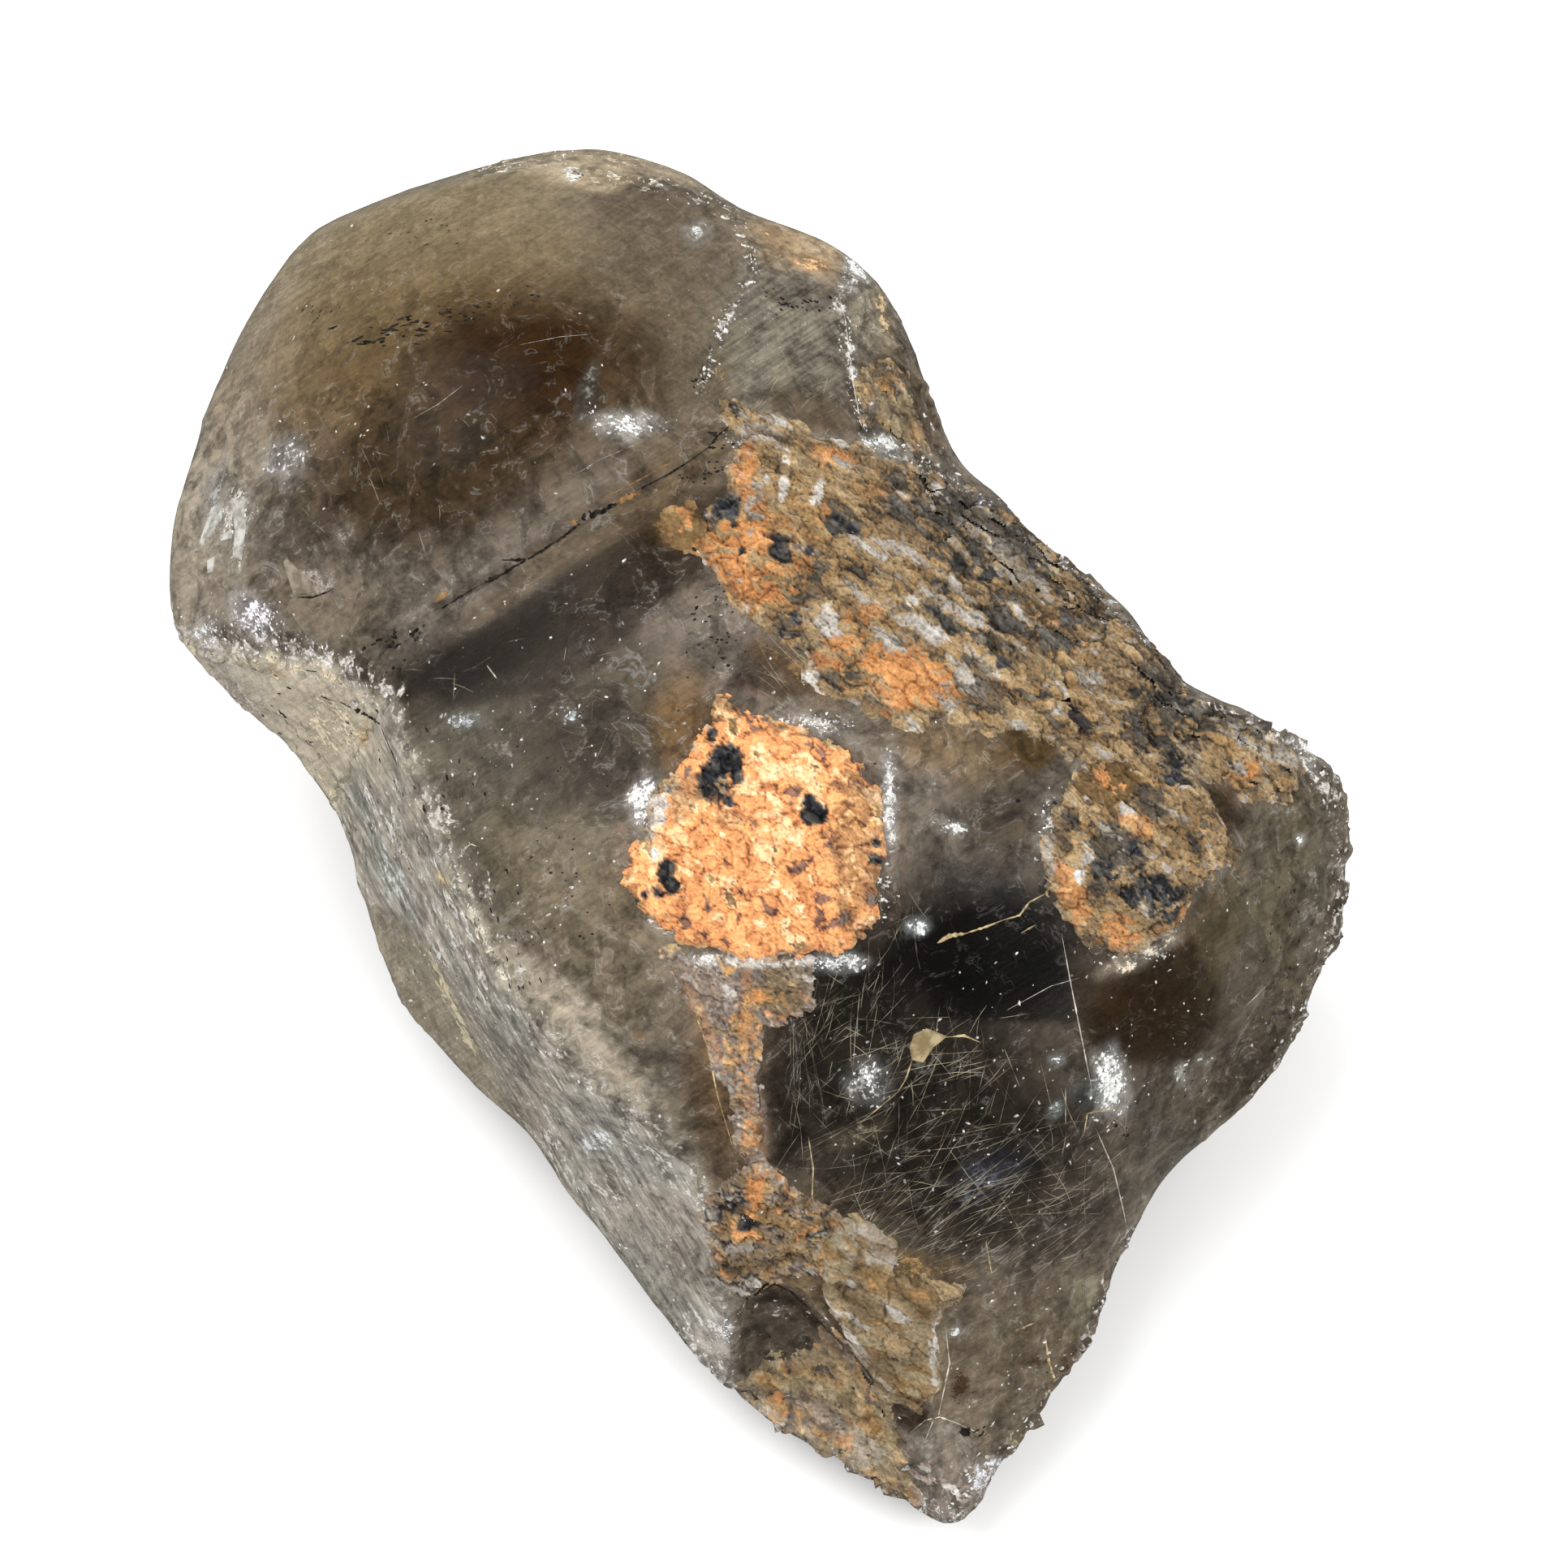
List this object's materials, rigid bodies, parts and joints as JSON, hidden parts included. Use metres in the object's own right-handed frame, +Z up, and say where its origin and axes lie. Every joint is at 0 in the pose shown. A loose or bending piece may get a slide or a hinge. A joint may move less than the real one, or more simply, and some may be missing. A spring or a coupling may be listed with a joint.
{
  "type": "smoky quartz crystal",
  "caption": "Rough broken lump of dark smoky quartz with a thick round head, a pointed toe and rusty crust patches, resting on a flat broken face.",
  "frame": {"origin": "middle of the lump's box, on the floor it rests on", "axes": "+Z up, +Y towards the thick round head, the pointed toe to -Y, +X towards the broken right shoulder"},
  "size_m": [0.1026, 0.1158, 0.0576],
  "materials": {
    "smoky_quartz": "glassy broken crystal with hazy, striated and rust-crusted areas"
  },
  "bodies": {
    "root": {"smoky_quartz": "smoky_quartz"}
  },
  "joints": []
}
